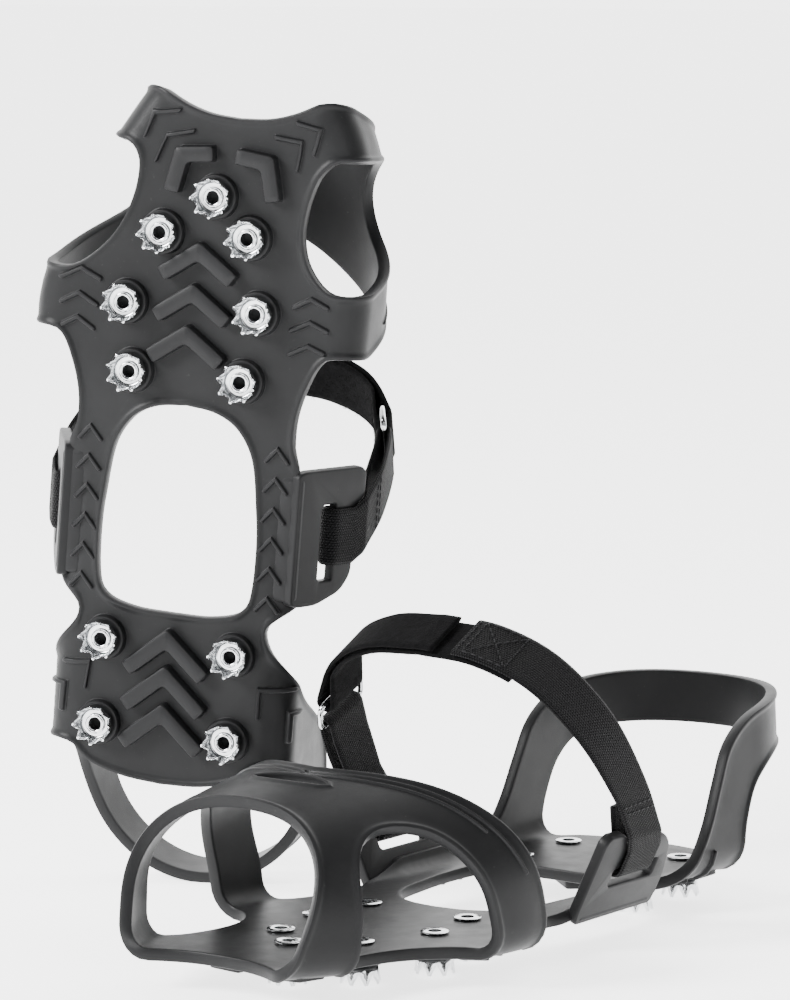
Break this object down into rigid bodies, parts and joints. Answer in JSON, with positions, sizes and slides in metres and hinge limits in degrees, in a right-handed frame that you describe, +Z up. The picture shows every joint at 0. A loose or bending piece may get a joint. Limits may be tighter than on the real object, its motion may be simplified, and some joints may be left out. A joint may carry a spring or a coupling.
{
  "type": "shoe ice cleats",
  "caption": "Pair of black rubber pull-on ice cleats with riveted steel toothed crowns, chevron tread bars, a heel band and a hook-and-loop instep strap.",
  "frame": {"origin": "centre of the pair's footprint, on the surface that it stands on", "axes": "+Z up; the left cleat stands on its studs with its toe towards -Y and its outer side towards +X, and the right cleat stands on its heel band with its toe up and its tread facing -Y"},
  "size_m": [0.2398, 0.2888, 0.2883],
  "materials": {
    "rubber": "matte moulded, charcoal",
    "steel": "zinc-plated, bright",
    "webbing": "black woven nylon",
    "hook_and_loop": "black napped loop pile"
  },
  "bodies": {
    "left_cleat": {"left_crown_01": "steel", "left_crown_02": "steel", "left_crown_03": "steel", "left_crown_04": "steel", "left_crown_05": "steel", "left_crown_06": "steel", "left_crown_07": "steel", "left_crown_08": "steel", "left_crown_09": "steel", "left_crown_10": "steel", "left_crown_11": "steel", "left_harness": "rubber", "left_rivet_01": "steel", "left_rivet_02": "steel", "left_rivet_03": "steel", "left_rivet_04": "steel", "left_rivet_05": "steel", "left_rivet_06": "steel", "left_rivet_07": "steel", "left_rivet_08": "steel", "left_rivet_09": "steel", "left_rivet_10": "steel", "left_rivet_11": "steel"},
    "left_strap": {"left_strap_webbing": "webbing", "left_loop_tape": "hook_and_loop", "left_ring_tab": "webbing"},
    "left_ring": {"left_ring": "steel"},
    "left_tail": {"left_hook_tail": "hook_and_loop"},
    "right_cleat": {"right_crown_01": "steel", "right_crown_02": "steel", "right_crown_03": "steel", "right_crown_04": "steel", "right_crown_05": "steel", "right_crown_06": "steel", "right_crown_07": "steel", "right_crown_08": "steel", "right_crown_09": "steel", "right_crown_10": "steel", "right_crown_11": "steel", "right_harness": "rubber", "right_rivet_01": "steel", "right_rivet_02": "steel", "right_rivet_03": "steel", "right_rivet_04": "steel", "right_rivet_05": "steel", "right_rivet_06": "steel", "right_rivet_07": "steel", "right_rivet_08": "steel", "right_rivet_09": "steel", "right_rivet_10": "steel", "right_rivet_11": "steel"},
    "right_strap": {"right_strap_webbing": "webbing", "right_loop_tape": "hook_and_loop", "right_ring_tab": "webbing"},
    "right_ring": {"right_ring": "steel"},
    "right_tail": {"right_hook_tail": "hook_and_loop"}
  },
  "joints": [
    {"name": "left_strap_shift", "type": "slide", "parent": "left_cleat", "child": "left_strap", "axis": [0, -1, 0], "range_m": [-0.005, 0.001]},
    {"name": "left_ring_tilt", "type": "hinge", "parent": "left_strap", "child": "left_ring", "pos_m": [0.00553, -0.01662, 0.07222], "axis": [0, -0.9277, -0.3733], "range_deg": [-4, 4]},
    {"name": "left_tail_peel", "type": "hinge", "parent": "left_strap", "child": "left_tail", "pos_m": [0.00719, -0.02329, 0.08317], "axis": [0, -0.8917, -0.4526], "range_deg": [0, 60]},
    {"name": "right_strap_shift", "type": "slide", "parent": "right_cleat", "child": "right_strap", "axis": [0.0958, 0, 0.9954], "range_m": [-0.005, 0.001]},
    {"name": "right_ring_tilt", "type": "hinge", "parent": "right_strap", "child": "right_ring", "pos_m": [-0.01339, 0.03473, 0.15622], "axis": [-0.2099, 0.353, -0.9118], "range_deg": [-4, 4]},
    {"name": "right_tail_peel", "type": "hinge", "parent": "right_strap", "child": "right_tail", "pos_m": [-0.01786, 0.04455, 0.16335], "axis": [-0.2321, 0.4279, -0.8735], "range_deg": [0, 100]},
    {"name": "right_lift_off", "type": "slide", "parent": "left_cleat", "child": "right_cleat", "axis": [0, 0, 1], "range_m": [0, 0.3]}
  ]
}
